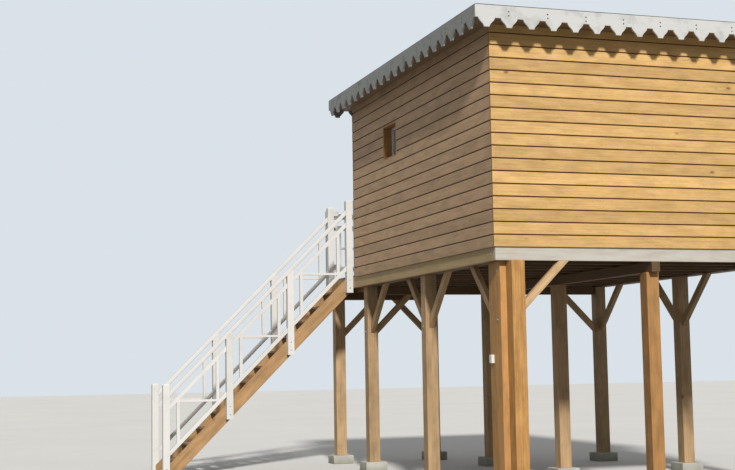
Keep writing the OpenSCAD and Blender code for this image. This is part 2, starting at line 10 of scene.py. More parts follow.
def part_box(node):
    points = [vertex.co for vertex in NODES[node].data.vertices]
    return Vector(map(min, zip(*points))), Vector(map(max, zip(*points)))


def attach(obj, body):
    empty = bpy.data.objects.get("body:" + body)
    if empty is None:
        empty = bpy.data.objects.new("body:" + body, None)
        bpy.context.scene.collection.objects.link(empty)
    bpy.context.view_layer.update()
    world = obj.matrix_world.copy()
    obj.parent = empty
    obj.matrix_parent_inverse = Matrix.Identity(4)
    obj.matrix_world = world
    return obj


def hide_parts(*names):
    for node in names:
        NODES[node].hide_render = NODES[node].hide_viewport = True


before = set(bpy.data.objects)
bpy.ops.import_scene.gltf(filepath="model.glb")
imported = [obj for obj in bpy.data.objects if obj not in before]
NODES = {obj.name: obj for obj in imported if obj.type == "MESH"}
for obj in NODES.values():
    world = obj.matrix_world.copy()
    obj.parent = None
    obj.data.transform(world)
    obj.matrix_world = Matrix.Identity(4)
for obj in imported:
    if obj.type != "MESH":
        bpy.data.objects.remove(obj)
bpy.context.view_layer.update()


# Places, from the frame: the outer faces of the walls, their foot and head, and the openings
LEFT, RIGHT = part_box("cladding_left"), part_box("cladding_right")
FRONT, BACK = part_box("cladding_front"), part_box("cladding_back")
LINING, DOORWAY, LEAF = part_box("window_linings"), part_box("door_frame"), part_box("door_leaf")
X0, X1 = LEFT[0][0], RIGHT[1][0]
Y0, Y1 = FRONT[0][1], BACK[1][1]
Z0, Z1 = FRONT[0][2], FRONT[1][2]
CLAD = LEFT[1][0] - LEFT[0][0]
# The posts within this distance of the front wall's face stand in the sun, and their colour takes a painted
# sunlit tint
FRONT_ROW = 0.6
FRONT_FADE = 0.1


# Materials: short helpers that add a node and return the socket that is used
def shader(name):
    mat = bpy.data.materials.new(name)
    mat.use_nodes = True
    tree = mat.node_tree
    return mat, tree, tree.nodes["Principled BSDF"]


def node(tree, kind, **inputs):
    made = tree.nodes.new(kind)
    for key, value in inputs.items():
        made.inputs[key.replace("_", " ")].default_value = value
    return made


def noise(tree, vector, scale, detail=4.0, rough=0.55):
    made = node(tree, "ShaderNodeTexNoise", Scale=scale, Detail=detail, Roughness=rough)
    tree.links.new(vector, made.inputs["Vector"])
    return made.outputs["Fac"]


def stretched(tree, vector, scale):
    made = node(tree, "ShaderNodeMapping", Scale=scale)
    tree.links.new(vector, made.inputs["Vector"])
    return made.outputs["Vector"]


def ramp(tree, factor, stops):
    made = tree.nodes.new("ShaderNodeValToRGB")
    elements = made.color_ramp.elements
    while len(elements) < len(stops):
        elements.new(0.5)
    for element, (place, colour) in zip(elements, stops):
        element.position = place
        if not isinstance(colour, tuple):
            colour = (colour, colour, colour)
        element.color = (*colour, 1.0)
    tree.links.new(factor, made.inputs["Fac"])
    return made.outputs["Color"]


def mix(tree, factor, a, b, blend="MIX"):
    made = tree.nodes.new("ShaderNodeMix")
    made.data_type = "RGBA"
    made.blend_type = blend
    for value, socket in ((factor, made.inputs[0]), (a, made.inputs[6]), (b, made.inputs[7])):
        if isinstance(value, (int, float)):
            socket.default_value = value
        elif isinstance(value, tuple):
            socket.default_value = (*value, 1.0)
        else:
            tree.links.new(value, socket)
    return made.outputs[2]


def maths(tree, kind, a, b):
    made = tree.nodes.new("ShaderNodeMath")
    made.operation = kind
    for value, socket in ((a, made.inputs[0]), (b, made.inputs[1])):
        if isinstance(value, (int, float)):
            socket.default_value = value
        else:
            tree.links.new(value, socket)
    return made.outputs[0]


def bump(tree, bsdf, height, distance, strength=1.0):
    made = node(tree, "ShaderNodeBump", Strength=strength, Distance=distance)
    tree.links.new(height, made.inputs["Height"])
    tree.links.new(made.outputs["Normal"], bsdf.inputs["Normal"])


def attribute(tree, name):
    made = tree.nodes.new("ShaderNodeAttribute")
    made.attribute_name = name
    return made


def place(tree):
    return tree.nodes.new("ShaderNodeTexCoord").outputs["Object"]


def wood(name, pale, deep, grey=(0.30, 0.25, 0.19), weather=0.0, knots=0.6, rough=0.6, spread=0.22,
         crevice_dirt_and_shade=(0.050, 0.026, 0.010), stain=0.5, painted_sun_tint=None):
    """Sawn timber whose grain runs along each board: pale and deep are its two colours,
    grey is what it weathers to and weather how far it has; spread is board to board,
    the crevice colour is dirt in a groove together with painted shade in it, stain is how strong
    the dark patches are, and the sun tint is what the posts at the sunny front are multiplied by, a painted
    sunlit tone."""
    mat, tree, bsdf = shader(name)
    grain = attribute(tree, "grain").outputs["Vector"]
    tint = attribute(tree, "tint").outputs["Fac"]
    wave = noise(tree, stretched(tree, grain, (1.6, 9.0, 9.0)), 1.4, 3.0, 0.5)
    figure = noise(tree, stretched(tree, grain, (1.5, 42.0, 42.0)), 1.7, 6.0, 0.62)
    fibre = noise(tree, stretched(tree, grain, (9.0, 260.0, 260.0)), 2.0, 3.0, 0.6)
    blotch = noise(tree, stretched(tree, grain, (2.2, 6.0, 6.0)), 1.6, 4.0, 0.55)
    middle = tuple((a + b) / 2 for a, b in zip(pale, deep))
    colour = ramp(tree, figure, [(0.34, deep), (0.47, middle), (0.60, pale)])
    colour = mix(tree, 0.35, colour, ramp(tree, wave, [(0.35, middle), (0.65, pale)]))
    colour = mix(tree, 0.45, colour, ramp(tree, fibre, [(0.32, 0.58), (0.60, 1.02)]), "MULTIPLY")
    colour = mix(tree, stain, colour, ramp(tree, blotch, [(0.32, 0.66), (0.60, 1.06)]), "MULTIPLY")
    if knots:
        spots = node(tree, "ShaderNodeTexVoronoi", Scale=2.9, Randomness=1.0)
        tree.links.new(stretched(tree, grain, (0.8, 1.5, 1.5)), spots.inputs["Vector"])
        ring = ramp(tree, spots.outputs["Distance"],
                    [(0.030, (0.26, 0.17, 0.11)), (0.055, (0.60, 0.46, 0.34)), (0.095, 1.0)])
        colour = mix(tree, knots, colour, ring, "MULTIPLY")
    if weather:
        patches = noise(tree, stretched(tree, grain, (1.2, 7.0, 7.0)), 2.4, 5.0, 0.6)
        amount = ramp(tree, patches, [(0.34, weather * 0.55), (0.66, min(1.0, weather * 1.35))])
        colour = mix(tree, amount, colour, grey)
    board = ramp(tree, tint, [(0.0, 1.0 - spread), (1.0, 1.0 + spread / 3)])
    colour = mix(tree, 1.0, colour, board, "MULTIPLY")
    # Painted sunlit tint: posts near the front wall are multiplied by a warmer, deeper tone, which fades
    # out behind them
    if painted_sun_tint:
        parts = tree.nodes.new("ShaderNodeSeparateXYZ")
        tree.links.new(place(tree), parts.inputs[0])
        near = node(tree, "ShaderNodeMapRange", From_Min=Y0 + FRONT_ROW,
                    From_Max=Y0 + FRONT_ROW + FRONT_FADE, To_Min=1.0, To_Max=0.0)
        tree.links.new(parts.outputs["Y"], near.inputs["Value"])
        colour = mix(tree, near.outputs[0], colour, mix(tree, 1.0, colour, painted_sun_tint, "MULTIPLY"))
    # Groove dirt and painted shade: the deepest corners of each board take the crevice colour
    dirt_and_shade = attribute(tree, "dirt_and_shade").outputs["Fac"]
    colour = mix(tree, ramp(tree, dirt_and_shade, [(0.0, 0.0), (0.6, 1.0)]), colour, crevice_dirt_and_shade)
    tree.links.new(colour, bsdf.inputs["Base Color"])
    tree.links.new(ramp(tree, fibre, [(0.2, rough + 0.14), (0.8, rough - 0.05)]), bsdf.inputs["Roughness"])
    bsdf.inputs["Specular IOR Level"].default_value = 0.3
    bump(tree, bsdf, mix(tree, 0.5, fibre, figure), 0.0012, 0.6)
    return mat


def paint(name, base, dirt_and_shade, amount):
    """White paint over timber: brush marks along the grain, with grime in patches and flecks."""
    mat, tree, bsdf = shader(name)
    grain = attribute(tree, "grain").outputs["Vector"]
    tint = attribute(tree, "tint").outputs["Fac"]
    brush = noise(tree, stretched(tree, grain, (3.0, 90.0, 90.0)), 2.0, 3.0, 0.6)
    patches = noise(tree, place(tree), 5.0, 6.0, 0.65)
    colour = ramp(tree, brush, [(0.3, tuple(c * 0.93 for c in base)), (0.6, base)])
    grime = ramp(tree, patches, [(0.50, 0.0), (0.78, amount)])
    colour = mix(tree, grime, colour, dirt_and_shade)
    flecks = noise(tree, stretched(tree, grain, (2.0, 14.0, 14.0)), 9.0, 6.0, 0.7)
    worn = ramp(tree, flecks, [(0.66, 0.0), (0.72, amount)])
    colour = mix(tree, worn, colour, tuple(c * 0.7 for c in dirt_and_shade))
    colour = mix(tree, 1.0, colour, ramp(tree, tint, [(0.0, 0.93), (1.0, 1.0)]), "MULTIPLY")
    tree.links.new(colour, bsdf.inputs["Base Color"])
    bsdf.inputs["Roughness"].default_value = 0.55
    bsdf.inputs["Specular IOR Level"].default_value = 0.25
    bump(tree, bsdf, brush, 0.0006, 0.5)
    return mat


def concrete():
    """Cloudy grey with grit, and damp green near the ground."""
    mat, tree, bsdf = shader("rough_concrete")
    spot = place(tree)
    cloud = noise(tree, spot, 4.0, 6.0, 0.6)
    grit = noise(tree, spot, 90.0, 4.0, 0.7)
    colour = ramp(tree, cloud, [(0.3, (0.36, 0.35, 0.31)), (0.7, (0.58, 0.57, 0.53))])
    colour = mix(tree, 0.5, colour, ramp(tree, grit, [(0.3, 0.6), (0.6, 1.0)]), "MULTIPLY")
    height = tree.nodes.new("ShaderNodeSeparateXYZ")
    tree.links.new(spot, height.inputs[0])
    damp = ramp(tree, height.outputs["Z"], [(0.0, 0.55), (0.09, 0.0)])
    colour = mix(tree, damp, colour, (0.22, 0.24, 0.15))
    tree.links.new(colour, bsdf.inputs["Base Color"])
    bsdf.inputs["Roughness"].default_value = 0.92
    bump(tree, bsdf, grit, 0.004, 0.8)
    return mat


def felt():
    """Roofing felt with mineral specks, a tone for each tab, and a little moss."""
    mat, tree, bsdf = shader("mineral_felt")
    spot = place(tree)
    tint = attribute(tree, "tint").outputs["Fac"]
    speck = noise(tree, spot, 260.0, 3.0, 0.7)
    cloud = noise(tree, spot, 2.0, 5.0, 0.6)
    colour = ramp(tree, speck, [(0.35, (0.045, 0.047, 0.05)), (0.65, (0.17, 0.17, 0.17))])
    colour = mix(tree, 1.0, colour, ramp(tree, tint, [(0.0, 0.65), (1.0, 1.15)]), "MULTIPLY")
    moss = ramp(tree, cloud, [(0.56, 0.0), (0.74, 0.6)])
    colour = mix(tree, moss, colour, (0.10, 0.11, 0.055))
    tree.links.new(colour, bsdf.inputs["Base Color"])
    bsdf.inputs["Roughness"].default_value = 0.9
    bump(tree, bsdf, speck, 0.002, 0.7)
    return mat


def metal(name, colour, rough):
    """Metal with spots of rust."""
    mat, tree, bsdf = shader(name)
    spot = place(tree)
    rust = noise(tree, spot, 60.0, 5.0, 0.7)
    tone = ramp(tree, rust, [(0.45, colour), (0.75, (0.14, 0.07, 0.04))])
    tree.links.new(tone, bsdf.inputs["Base Color"])
    bsdf.inputs["Metallic"].default_value = 0.8
    bsdf.inputs["Roughness"].default_value = rough
    return mat


def glass():
    """Glass with a film of dust, over a pale blue-grey tone that is a painted sky reflection."""
    mat, tree, bsdf = shader("window_glass")
    film = noise(tree, place(tree), 7.0, 4.0, 0.6)
    # Pale blue-grey tone: a dust film and a painted sky reflection, shown by the part of the pane that does
    # not let light through
    tone = ramp(tree, film, [(0.3, (0.78, 0.84, 0.86)), (0.7, (0.88, 0.92, 0.93))])
    tree.links.new(tone, bsdf.inputs["Base Color"])
    bsdf.inputs["Roughness"].default_value = 0.08
    bsdf.inputs["Transmission Weight"].default_value = 0.75
    bsdf.inputs["IOR"].default_value = 1.45
    return mat


def plastic():
    """White plastic, a little soiled."""
    mat, tree, bsdf = shader("switch_plastic")
    film = noise(tree, place(tree), 30.0, 5.0, 0.6)
    tone = ramp(tree, film, [(0.35, (0.67, 0.67, 0.64)), (0.65, (0.76, 0.76, 0.74))])
    tree.links.new(tone, bsdf.inputs["Base Color"])
    bsdf.inputs["Roughness"].default_value = 0.4
    return mat


M = {
    # Front boards; their groove colour is dirt and painted shade
    "front": wood("honey_boards", (0.745, 0.485, 0.20), (0.565, 0.325, 0.112), knots=0.8,
                  spread=0.20, stain=0.5, crevice_dirt_and_shade=(0.19, 0.075, 0.018)),
    # Boards of the left, right and back walls: a greyer, browner copy of the front boards, partly
    # weathering and partly painted shade
    "side": wood("shaded_brown_boards", (0.66, 0.435, 0.25), (0.44, 0.265, 0.135),
                 grey=(0.40, 0.29, 0.185), weather=0.34, knots=0.6, spread=0.20, stain=0.7,
                 crevice_dirt_and_shade=(0.080, 0.034, 0.010)),
    "timber": wood("new_timber", (0.62, 0.34, 0.115), (0.36, 0.165, 0.045), knots=0.8, stain=0.7),
    "brace": wood("brace_timber", (0.66, 0.45, 0.24), (0.42, 0.255, 0.12),
                  grey=(0.38, 0.27, 0.16), weather=0.22, knots=0.8, stain=0.8),
    "string": wood("string_timber", (0.60, 0.36, 0.155), (0.36, 0.185, 0.07),
                   grey=(0.34, 0.23, 0.13), weather=0.30, knots=0.8, stain=0.9),
    # Post timber; the posts at the front take a painted sunlit tint
    "post": wood("post_timber", (0.62, 0.41, 0.21), (0.38, 0.22, 0.10),
                 grey=(0.38, 0.29, 0.19), weather=0.30, knots=0.9, stain=0.9,
                 painted_sun_tint=(1.02, 0.80, 0.52)),
    "tread": wood("tread_timber", (0.34, 0.20, 0.095), (0.19, 0.10, 0.045), weather=0.20, knots=0.5),
    # Timber under the floor and under the roof, darkened with painted shade
    "under": wood("shaded_joist_timber", (0.17, 0.095, 0.042), (0.09, 0.048, 0.02),
                  grey=(0.11, 0.075, 0.045), weather=0.20, knots=0.5),
    "rim_side": wood("rim_side_timber", (0.50, 0.35, 0.165), (0.31, 0.195, 0.08),
                     grey=(0.38, 0.295, 0.155), weather=0.50, knots=0.6),
    "rim_end": wood("rim_end_timber", (0.60, 0.54, 0.44), (0.42, 0.36, 0.28),
                    grey=(0.64, 0.62, 0.57), weather=0.80, knots=0.5, stain=0.8),
    "deck": wood("deck_boards", (0.40, 0.26, 0.135), (0.24, 0.145, 0.07),
                 grey=(0.32, 0.27, 0.20), weather=0.45, knots=0.5),
    # Window reveal: a darker copy of the new timber, with painted shade in the window recess
    "reveal": wood("shaded_reveal_timber", (0.42, 0.22, 0.075), (0.27, 0.125, 0.04), knots=0.3),
    "white": paint("white_paint", (0.70, 0.70, 0.69), (0.40, 0.38, 0.33), 0.28),
    "trim": paint("trim_paint", (0.58, 0.59, 0.59), (0.22, 0.22, 0.20), 0.60),
    # Trim paint of the left, right and back eaves: painted shade makes it dark grey, with heavy grime as
    # well
    "shaded_trim": paint("shaded_trim_paint", (0.28, 0.29, 0.28), (0.10, 0.10, 0.085), 0.80),
    "concrete": concrete(),
    "felt": felt(),
    "bolt": metal("dark_screws", (0.05, 0.045, 0.04), 0.55),
    "zinc": metal("zinc_bolts", (0.42, 0.42, 0.42), 0.42),
    "glass": glass(),
    "plastic": plastic(),
}


# Mesh code
# How far a fastener's foot goes into the face that it stands on
SUNK = 0.0005
# Each stick of timber shows its own place in a log of this length
LOG = 40
# CAD meshes: points closer than WELD are one, an edge flatter than FLAT goes, one over SHARP is eased
WELD = 1e-5
FLAT = 0.01
SHARP = 0.6


def prism_faces(count):
    """The faces of a prism whose first count points are its foot and the next count its head."""
    ends = [list(range(count))[::-1], list(range(count, 2 * count))]
    return ends + [[i, (i + 1) % count, count + (i + 1) % count, count + i] for i in range(count)]


class Piece:
    """Gathers solids, each with its own tint and its own grain direction."""

    def __init__(self, name, seed):
        self.name = name
        self.dice = random.Random(seed)
        self.verts, self.faces, self.tints, self.grains, self.smooth = [], [], [], [], []
        self.dirt_and_shade = []

    def look(self):
        """The tint of one stick of timber, and the place in the log that it came from."""
        return self.dice.random(), [self.dice.uniform(0, LOG) for _ in range(3)]

    def add(self, points, faces, axes=(0, 1, 2), smooth=False, dirt_and_shade=None, look=None):
        """One solid; axes lists the frame axes, the one that the grain runs along first."""
        self.dirt_and_shade += dirt_and_shade or [0.0] * len(points)
        start = len(self.verts)
        tint, shift = look or self.look()
        for p in points:
            self.verts.append(tuple(p))
            self.tints.append(tint)
            self.grains.append(tuple(p[a] + s for a, s in zip(axes, shift)))
        for face in faces:
            self.faces.append([start + i for i in face])
            self.smooth.append(smooth)

    def prism(self, outline, low, high, to_world, axes, dirt_and_shade_from=None, look=None):
        """Runs a 2D outline from low to high; to_world(u, v, along) gives the point.
        Corners deeper than the given depth hold dirt and painted shade."""
        points = [to_world(u, v, w) for w in (low, high) for u, v in outline]
        dirt_and_shade = None if dirt_and_shade_from is None else [float(u > dirt_and_shade_from) for u, _ in outline] * 2
        self.add(points, prism_faces(len(outline)), axes, dirt_and_shade=dirt_and_shade, look=look)

    def box(self, low, high, axes=(0, 1, 2), bevel=0.0015):
        """A box with bevelled edges: each corner is cut into three points."""
        b = min([bevel] + [(h - l) / 3 for l, h in zip(low, high)])
        mesh = bmesh.new()
        bmesh.ops.create_cube(mesh, size=1.0)
        for v in mesh.verts:
            v.co = Vector([(low[i] + high[i]) / 2 + v.co[i] * (high[i] - low[i]) for i in range(3)])
        bmesh.ops.bevel(mesh, geom=list(mesh.edges), offset=b, segments=1, affect="EDGES")
        mesh.verts.index_update()
        self.add([tuple(v.co) for v in mesh.verts],
                 [[v.index for v in f.verts] for f in mesh.faces], axes)
        mesh.free()

    def turned(self, centre, direction, profile, sides, smooth=False):
        """A turned solid on an axis; profile lists its radii and heights, from the foot up."""
        turn = Vector(direction).normalized().to_track_quat("Z", "Y").to_matrix()
        points, faces = [], []
        for r, h in profile:
            for k in range(sides):
                a = 2 * math.pi * k / sides
                points.append(Vector(centre) + turn @ Vector((r * math.cos(a), r * math.sin(a), h)))
        for ring in range(len(profile) - 1):
            for k in range(sides):
                a, b = ring * sides + k, ring * sides + (k + 1) % sides
                faces.append([a, b, b + sides, a + sides])
        faces.append(list(range(len(points) - sides, len(points))))
        faces.append(list(range(sides))[::-1])
        self.add(points, faces, smooth=smooth)

    def disc(self, centre, direction, radius, height, sides=10, dome=0.6):
        """A screw or bolt head that stands on a face."""
        profile = [(radius, -SUNK), (radius, height * 0.5), (radius * dome, height)]
        self.turned(centre, direction, profile, sides)

    def make(self, mat, slot, *replaced):
        """Turns the gathered solids into one object, which stands for the replaced nodes."""
        mesh = bpy.data.meshes.new(self.name)
        mesh.from_pydata(self.verts, [], self.faces)
        finish_mesh(mesh, np.array(self.tints), np.array(self.grains))
        mesh.attributes.new("dirt_and_shade", "FLOAT", "POINT").data.foreach_set("value", self.dirt_and_shade)
        mesh.polygons.foreach_set("use_smooth", self.smooth)
        return place_piece(self.name, mesh, mat, slot, replaced)


def finish_mesh(mesh, tints, grains):
    """Turns the faces outward and writes each point's tint and grain."""
    mesh.update()
    bm = bmesh.new()
    bm.from_mesh(mesh)
    bmesh.ops.recalc_face_normals(bm, faces=bm.faces)
    bm.to_mesh(mesh)
    bm.free()
    mesh.attributes.new("tint", "FLOAT", "POINT").data.foreach_set("value", tints.astype(np.float32))
    mesh.attributes.new("grain", "FLOAT_VECTOR", "POINT").data.foreach_set(
        "vector", grains.astype(np.float32).ravel())


def place_piece(name, mesh, mat, slot, replaced=()):
    """Adds a mesh to the scene as a piece that rides on the building."""
    piece = bpy.data.objects.new(name, mesh)
    bpy.context.scene.collection.objects.link(piece)
    mesh.materials.append(mat)
    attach(piece, "root")
    if replaced:
        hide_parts(*replaced)
    return piece


def sticks(bm):
    """The points of each solid of a mesh, found from point to point along its edges."""
    seen = set()
    for vert in bm.verts:
        if vert.index in seen:
            continue
        group, todo = [], [vert]
        seen.add(vert.index)
        while todo:
            at = todo.pop()
            group.append(at)
            for edge in at.link_edges:
                other = edge.other_vert(at)
                if other.index not in seen:
                    seen.add(other.index)
                    todo.append(other)
        yield group


def dressed(name, mat, slot, node_name, bevel, seed):
    """A copy of a CAD node with eased edges, and a grain that follows each member."""
    bm = bmesh.new()
    bm.from_mesh(NODES[node_name].data)
    bmesh.ops.remove_doubles(bm, verts=bm.verts, dist=WELD)
    bmesh.ops.dissolve_limit(bm, angle_limit=FLAT, verts=bm.verts, edges=bm.edges)
    sharp = [e for e in bm.edges if len(e.link_faces) == 2 and e.calc_face_angle(0.0) > SHARP]
    bmesh.ops.bevel(bm, geom=sharp, offset=bevel, segments=2, affect="EDGES", profile=0.6,
                    clamp_overlap=True)
    bm.verts.index_update()
    dice = random.Random(seed)
    tints, grains = np.zeros(len(bm.verts)), np.zeros((len(bm.verts), 3))
    for group in sticks(bm):
        index = [v.index for v in group]
        points = np.array([v.co for v in group])
        corners = points - points.mean(axis=0)
        axes = np.linalg.svd(corners, full_matrices=False)[2]
        shift = [dice.uniform(0, LOG) for _ in range(3)]
        grains[index] = corners @ axes.T + shift
        tints[index] = dice.random()
    mesh = bpy.data.meshes.new(name)
    bm.to_mesh(mesh)
    bm.free()
    finish_mesh(mesh, tints, grains)
    return place_piece(name, mesh, mat, slot, (node_name,))


# Weather boards
COVER = 0.135
GROOVE = 0.013
GROOVE_DEEP = 0.016
BOARD_EASE = 0.004
# Corners of a board deeper than this hold dirt and painted shade
DIRT_AND_SHADE_DEPTH = 0.010
# A strip of board that is lower than this isn't made
SLIVER = 0.002
COURSES = math.ceil((Z1 - Z0) / COVER)
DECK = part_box("landing_deck")
# Each hole is where it starts and ends along the wall, then its foot and its head
WINDOW_HOLE = (LINING[0][1], LINING[1][1], LINING[0][2], LINING[1][2])
DOOR_HOLE = (DOORWAY[0][0], DOORWAY[1][0], Z0 - 1.0, DOORWAY[1][2])


def clip(outline, nx, ny, limit):
    """Keeps the part of a flat outline where nx * x + ny * y is at most limit."""
    kept = []
    for i, p in enumerate(outline):
        q = outline[(i + 1) % len(outline)]
        dp = nx * p[0] + ny * p[1] - limit
        dq = nx * q[0] + ny * q[1] - limit
        if dp <= 0:
            kept.append(p)
        if dp < 0 < dq or dq < 0 < dp:
            t = dp / (dp - dq)
            kept.append((p[0] + t * (q[0] - p[0]), p[1] + t * (q[1] - p[1])))
    return kept


def below(outline, z):
    return clip(outline, 0, 1, z)


def above(outline, z):
    return clip(outline, 0, -1, -z)


def board_outline(z, top):
    """Depth from the outer face against height: an eased face with a groove over it."""
    face_top = top - GROOVE
    return [(BOARD_EASE, z), (0.0, z + BOARD_EASE), (0.0, face_top - BOARD_EASE),
            (BOARD_EASE, face_top), (GROOVE_DEEP, face_top), (GROOVE_DEEP, top), (CLAD, top), (CLAD, z)]


def courses():
    """The foot of each course and its outline; the last one ends at the top of the wall."""
    for course in range(COURSES):
        z = Z0 + course * COVER
        yield z, below(board_outline(z, z + COVER), Z1)


# A point of each wall, from its depth in the wall, its height and its place along the wall
def on_left(depth, z, along):
    return (X0 + depth, along, z)


def on_right(depth, z, along):
    return (X1 - depth, along, z)


def on_front(depth, z, along):
    return (along, Y0 + depth, z)


def on_back(depth, z, along):
    return (along, Y1 - depth, z)


ALONG_X = (0, 2, 1)
ALONG_Y = (1, 2, 0)


def boarded(name, seed, low, high, on_wall, axes, hole=None):
    """The boards of one wall between low and high, cut round its hole."""
    piece = Piece(name, seed)
    for z, whole in courses():
        look = piece.look()
        runs = [(whole, low, high)]
        if hole and z < hole[3] and z + COVER > hole[2]:
            start, end, foot, head = hole
            parts = (below(whole, foot), above(whole, head))
            tall = [p for p in parts if len(p) > 2 and max(v for _, v in p) - min(v for _, v in p) > SLIVER]
            runs = [(whole, low, start)] + [(p, start, end) for p in tall] + [(whole, end, high)]
        for outline, a, b in runs:
            piece.prism(outline, a, b, on_wall, axes, DIRT_AND_SHADE_DEPTH, look)
    return piece


def back_boards():
    """The back wall's boards start on the landing where that stands, and stop at the door."""
    piece = Piece("boards_back", 9)
    deck_end, deck_top = DECK[1][0], DECK[1][2]
    door_low, door_high, _, door_top = DOOR_HOLE
    for z, whole in courses():
        look = piece.look()
        runs = []
        if z >= door_top:
            runs.append((whole, X0, X1))
        else:
            if z + COVER > deck_top:
                over_deck = above(whole, deck_top)
                runs += [(over_deck, X0, door_low), (over_deck, door_high, deck_end)]
            runs.append((whole, deck_end, X1))
            if z + COVER > door_top:
                runs.append((above(whole, door_top), door_low, door_high))
        for outline, a, b in runs:
            if len(outline) > 2:
                piece.prism(outline, a, b, on_back, ALONG_X, DIRT_AND_SHADE_DEPTH, look)
    return piece


boarded("boards_left", 3, Y0 + CLAD, Y1 - CLAD, on_left, ALONG_Y, WINDOW_HOLE).make(
    M["side"], "boards", "cladding_left")
boarded("boards_right", 5, Y0 + CLAD, Y1 - CLAD, on_right, ALONG_Y, WINDOW_HOLE).make(
    M["side"], "boards", "cladding_right")
boarded("boards_front", 7, X0, X1, on_front, ALONG_X).make(M["front"], "boards", "cladding_front")
back_boards().make(M["side"], "boards", "cladding_back")

# Nails: two in each board at every stud
STUD_PITCH = 0.6
NAIL_END = 0.04
NAIL_UPS = (0.032, 0.096)
NAIL_RADIUS = 0.0028
NAIL_HEAD = 0.0006
# How far a nail stays from the side of a hole, and from its foot and head and the wall's top
CLEAR_SIDE = 0.03
CLEAR_END = 0.02


def by_hole(along, z, hole):
    if hole is None:
        return False
    start, end, foot, head = hole
    return start - CLEAR_SIDE < along < end + CLEAR_SIDE and foot - CLEAR_END < z < head + CLEAR_END


def nail(piece, low, high, on_wall, direction, hole=None):
    """The nails of one wall between low and high, left out round its hole."""
    studs = max(2, round((high - low) / STUD_PITCH))
    for i in range(studs + 1):
        along = low + NAIL_END + (high - low - 2 * NAIL_END) * i / studs
        for course in range(COURSES):
            for up in NAIL_UPS:
                z = Z0 + course * COVER + up
                if z <= Z1 - CLEAR_END and not by_hole(along, z, hole):
                    piece.disc(on_wall(0.0, z, along), direction, NAIL_RADIUS, NAIL_HEAD, sides=6)


nails = Piece("board_nails", 11)
nail(nails, Y0, Y1, on_left, (-1, 0, 0), WINDOW_HOLE)
nail(nails, Y0, Y1, on_right, (1, 0, 0), WINDOW_HOLE)
nail(nails, X0, X1, on_front, (0, -1, 0))
nail(nails, X0, X1, on_back, (0, 1, 0), DOOR_HOLE)
nails.make(M["bolt"], "new_timber")

# CAD nodes dressed with eased edges: piece, node, material, slot and how wide its edges are cut
DRESSED = (
    ("timber_posts_left", "posts_left", "post", "new_timber", 0.004),
    ("timber_posts_middle", "posts_middle", "post", "new_timber", 0.004),
    ("timber_posts_right", "posts_right", "post", "new_timber", 0.004),
    ("timber_flank_posts", "flank_posts", "timber", "new_timber", 0.004),
    ("timber_landing_posts", "landing_posts", "post", "new_timber", 0.004),
    ("timber_braces_along", "braces_along", "brace", "new_timber", 0.003),
    ("timber_braces_across", "braces_across", "brace", "new_timber", 0.003),
    ("timber_rim_sides", "rim_sides", "rim_side", "weathered_timber", 0.003),
    ("timber_rim_ends", "rim_ends", "rim_end", "weathered_timber", 0.003),
    ("timber_bearers", "bearers", "under", "weathered_timber", 0.003),
    ("timber_joists", "floor_joists", "under", "weathered_timber", 0.002),
    ("timber_beams", "drop_beams", "under", "new_timber", 0.003),
    ("timber_landing_frame", "landing_frame", "string", "weathered_timber", 0.002),
    ("timber_strings", "stair_strings", "string", "new_timber", 0.003),
    ("timber_treads", "stair_treads", "tread", "new_timber", 0.004),
    ("timber_rafters", "rafters", "under", "new_timber", 0.002),
    ("white_newels", "newels", "white", "white_paint", 0.003),
    ("white_handrails", "handrails", "white", "white_paint", 0.008),
    ("white_stair_panels", "stair_panels", "white", "white_paint", 0.002),
    ("white_landing_rails", "landing_rails", "white", "white_paint", 0.002),
    ("trim_board_left", "trim_left", "shaded_trim", "white_paint", 0.0015),
    ("trim_board_right", "trim_right", "shaded_trim", "white_paint", 0.0015),
    ("trim_board_front", "trim_front", "trim", "white_paint", 0.0015),
    ("trim_board_back", "trim_back", "shaded_trim", "white_paint", 0.0015),
    ("window_reveals", "window_linings", "reveal", "new_timber", 0.0015),
    ("window_frames", "window_sashes", "white", "white_paint", 0.002),
    ("door_lining", "door_frame", "white", "white_paint", 0.002),
    ("concrete_feet", "concrete_pads", "concrete", "concrete", 0.010),
    ("switch_case", "switch_box", "plastic", "switch_plastic", 0.004),
)
for name, node_name, mat, slot, bevel in DRESSED:
    dressed(name, M[mat], slot, node_name, bevel, seed=len(name) * 7 + len(node_name))


# CAD nodes that stay: the inner lining, the floor, the soffit, the glass and the roof
def keep(node_name, mat):
    """Leaves a CAD node as it is, with this material."""
    mesh = NODES[node_name].data
    mesh.materials.clear()
    mesh.materials.append(mat)


def lining_material(name, across, cover, base):
    """Boards drawn by grooves every cover metres along one frame axis."""
    mat, tree, bsdf = shader(name)
    spot = place(tree)
    parts = tree.nodes.new("ShaderNodeSeparateXYZ")
    tree.links.new(spot, parts.inputs[0])
    row = maths(tree, "DIVIDE", parts.outputs[across], cover)
    groove = maths(tree, "PINGPONG", row, 0.5)
    line = ramp(tree, groove, [(0.0, 0.25), (0.03, 1.0)])
    scale = {"X": (30.0, 1.2, 30.0), "Z": (1.2, 1.2, 30.0)}[across]
    bands = noise(tree, stretched(tree, spot, scale), 1.5, 5.0, 0.6)
    colour = ramp(tree, bands, [(0.3, tuple(c * 0.66 for c in base)), (0.66, base)])
    number = node(tree, "ShaderNodeTexWhiteNoise")
    number.noise_dimensions = "1D"
    tree.links.new(maths(tree, "FLOOR", row, 0.0), number.inputs["W"])
    tone = ramp(tree, number.outputs["Value"], [(0.0, 0.8), (1.0, 1.1)])
    colour = mix(tree, 1.0, colour, tone, "MULTIPLY")
    colour = mix(tree, 1.0, colour, line, "MULTIPLY")
    tree.links.new(colour, bsdf.inputs["Base Color"])
    bsdf.inputs["Roughness"].default_value = 0.6
    bump(tree, bsdf, line, 0.004, 0.8)
    return mat


